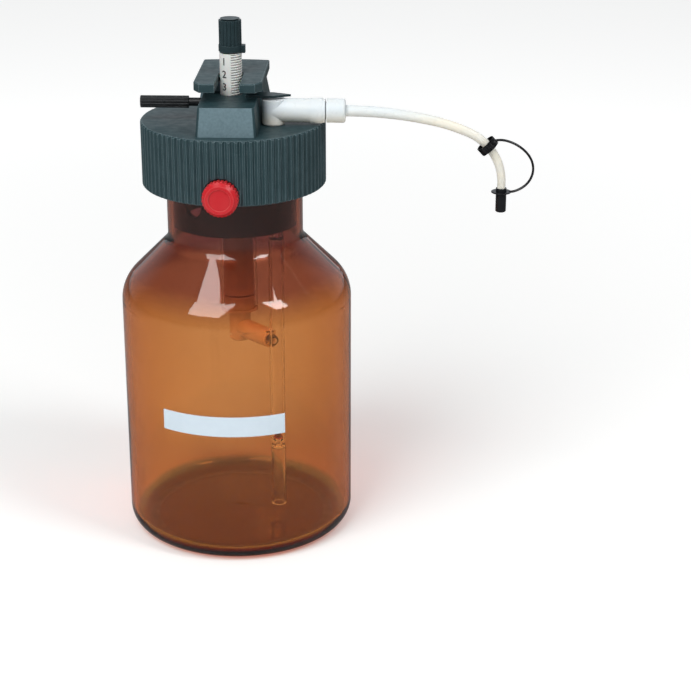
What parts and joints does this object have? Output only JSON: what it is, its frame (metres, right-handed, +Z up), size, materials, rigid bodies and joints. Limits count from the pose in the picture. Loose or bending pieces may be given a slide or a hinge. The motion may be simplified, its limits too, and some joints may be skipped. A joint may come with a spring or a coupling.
{
  "type": "bottle-top dispenser",
  "caption": "Bottle-top dispenser on an amber reagent bottle: knurled cap, head block, lift plate, graduated dose spindle, swivel nozzle with bent jet, glass barrel and valve tube inside.",
  "frame": {"origin": "on the bottle's axis, in the plane of the surface that the bottle's foot stands on", "axes": "+Z up along the bottle's axis, +X towards the delivery jet, -Y towards the front of the head block and the clamp screw"},
  "size_m": [0.1898, 0.107, 0.2448],
  "materials": {
    "amber_glass": "blown, glossy",
    "clear_glass": "drawn tube, glossy",
    "black_plastic": "moulded, satin",
    "red_plastic": "moulded, glossy",
    "white_plastic": "moulded, satin",
    "milky_plastic": "translucent, satin",
    "black_rubber": "moulded, matt",
    "ruby": "polished",
    "steel": "plain"
  },
  "bodies": {
    "bottle": {"bottle": "amber_glass"},
    "head": {"knurled_cap": "black_plastic", "head_block": "black_plastic", "block_screws": "steel", "neck_insert": "black_plastic", "sealing_rings": "black_rubber", "neck_gasket": "black_rubber", "spindle_nut": "white_plastic", "hub_catch": "black_plastic", "glass_barrel": "clear_glass", "barrel_holder": "black_plastic", "elbow_connector": "milky_plastic", "valve_tube": "clear_glass", "tube_grommet": "black_rubber"},
    "clamp_pad": {"clamp_pad": "white_plastic"},
    "clamp_screw": {"clamp_screw": "red_plastic"},
    "lock_pad": {"lock_pad": "white_plastic"},
    "lock_screw": {"lock_screw": "black_plastic"},
    "plunger": {"finger_plate": "black_plastic", "plunger": "milky_plastic", "piston_seal": "milky_plastic"},
    "stop_collar": {"stop_collar": "black_plastic"},
    "spindle": {"graduated_spindle": "white_plastic", "dose_knob": "black_plastic"},
    "nozzle": {"nozzle": "milky_plastic", "nozzle_nut": "milky_plastic", "delivery_jet": "milky_plastic", "cap_strap": "black_rubber"},
    "tip_cap": {"tip_cap": "black_plastic"},
    "inlet_ball": {"inlet_ball": "ruby"},
    "outlet_ball": {"outlet_ball": "ruby"}
  },
  "joints": [
    {"name": "head_lift", "type": "slide", "parent": "bottle", "child": "head", "axis": [0, 0, 1], "range_m": [0, 0.19]},
    {"name": "clamp_travel", "type": "slide", "parent": "head", "child": "clamp_pad", "axis": [-0.0523, -0.9986, 0], "range_m": [0, 0.002]},
    {"name": "clamp_turn", "type": "hinge", "parent": "clamp_pad", "child": "clamp_screw", "pos_m": [0, 0, 0.173], "axis": [-0.0523, -0.9986, 0], "range_deg": [0, 720.01]},
    {"name": "lock_travel", "type": "slide", "parent": "head", "child": "lock_pad", "axis": [-1, 0, 0], "range_m": [0, 0.0008]},
    {"name": "lock_turn", "type": "hinge", "parent": "lock_pad", "child": "lock_screw", "pos_m": [0, -0.005, 0.2069], "axis": [-1, 0, 0], "range_deg": [0, 360.01]},
    {"name": "plunger_lift", "type": "slide", "parent": "head", "child": "plunger", "axis": [0, 0, 1], "range_m": [0, 0.0093]},
    {"name": "dose_travel", "type": "slide", "parent": "head", "child": "stop_collar", "axis": [0, 0, 1], "range_m": [0, 0.047]},
    {"name": "dose_turn", "type": "hinge", "parent": "stop_collar", "child": "spindle", "pos_m": [0, -0.005, 0.2295], "axis": [0, 0, 1], "range_deg": [0, 14948]},
    {"name": "nozzle_swivel", "type": "hinge", "parent": "head", "child": "nozzle", "pos_m": [0.0191, -0.0103, 0.2047], "axis": [0, 0, 1], "range_deg": [-90, 60]},
    {"name": "tip_cap_pull", "type": "slide", "parent": "nozzle", "child": "tip_cap", "axis": [0, 0, -1], "range_m": [0, 0.012], "deforming": ["cap_strap"]},
    {"name": "inlet_ball_lift", "type": "slide", "parent": "head", "child": "inlet_ball", "axis": [0, 0, 1], "range_m": [0, 0.0035]},
    {"name": "outlet_ball_lift", "type": "slide", "parent": "head", "child": "outlet_ball", "axis": [0, 0, 1], "range_m": [0, 0.0035]}
  ],
  "couplings": [
    {"joint": "clamp_turn", "follows": "clamp_travel", "rad_per_m": 6283.2},
    {"joint": "lock_turn", "follows": "lock_travel", "rad_per_m": 7854},
    {"joint": "dose_turn", "follows": "dose_travel", "rad_per_m": 5550.5}
  ]
}
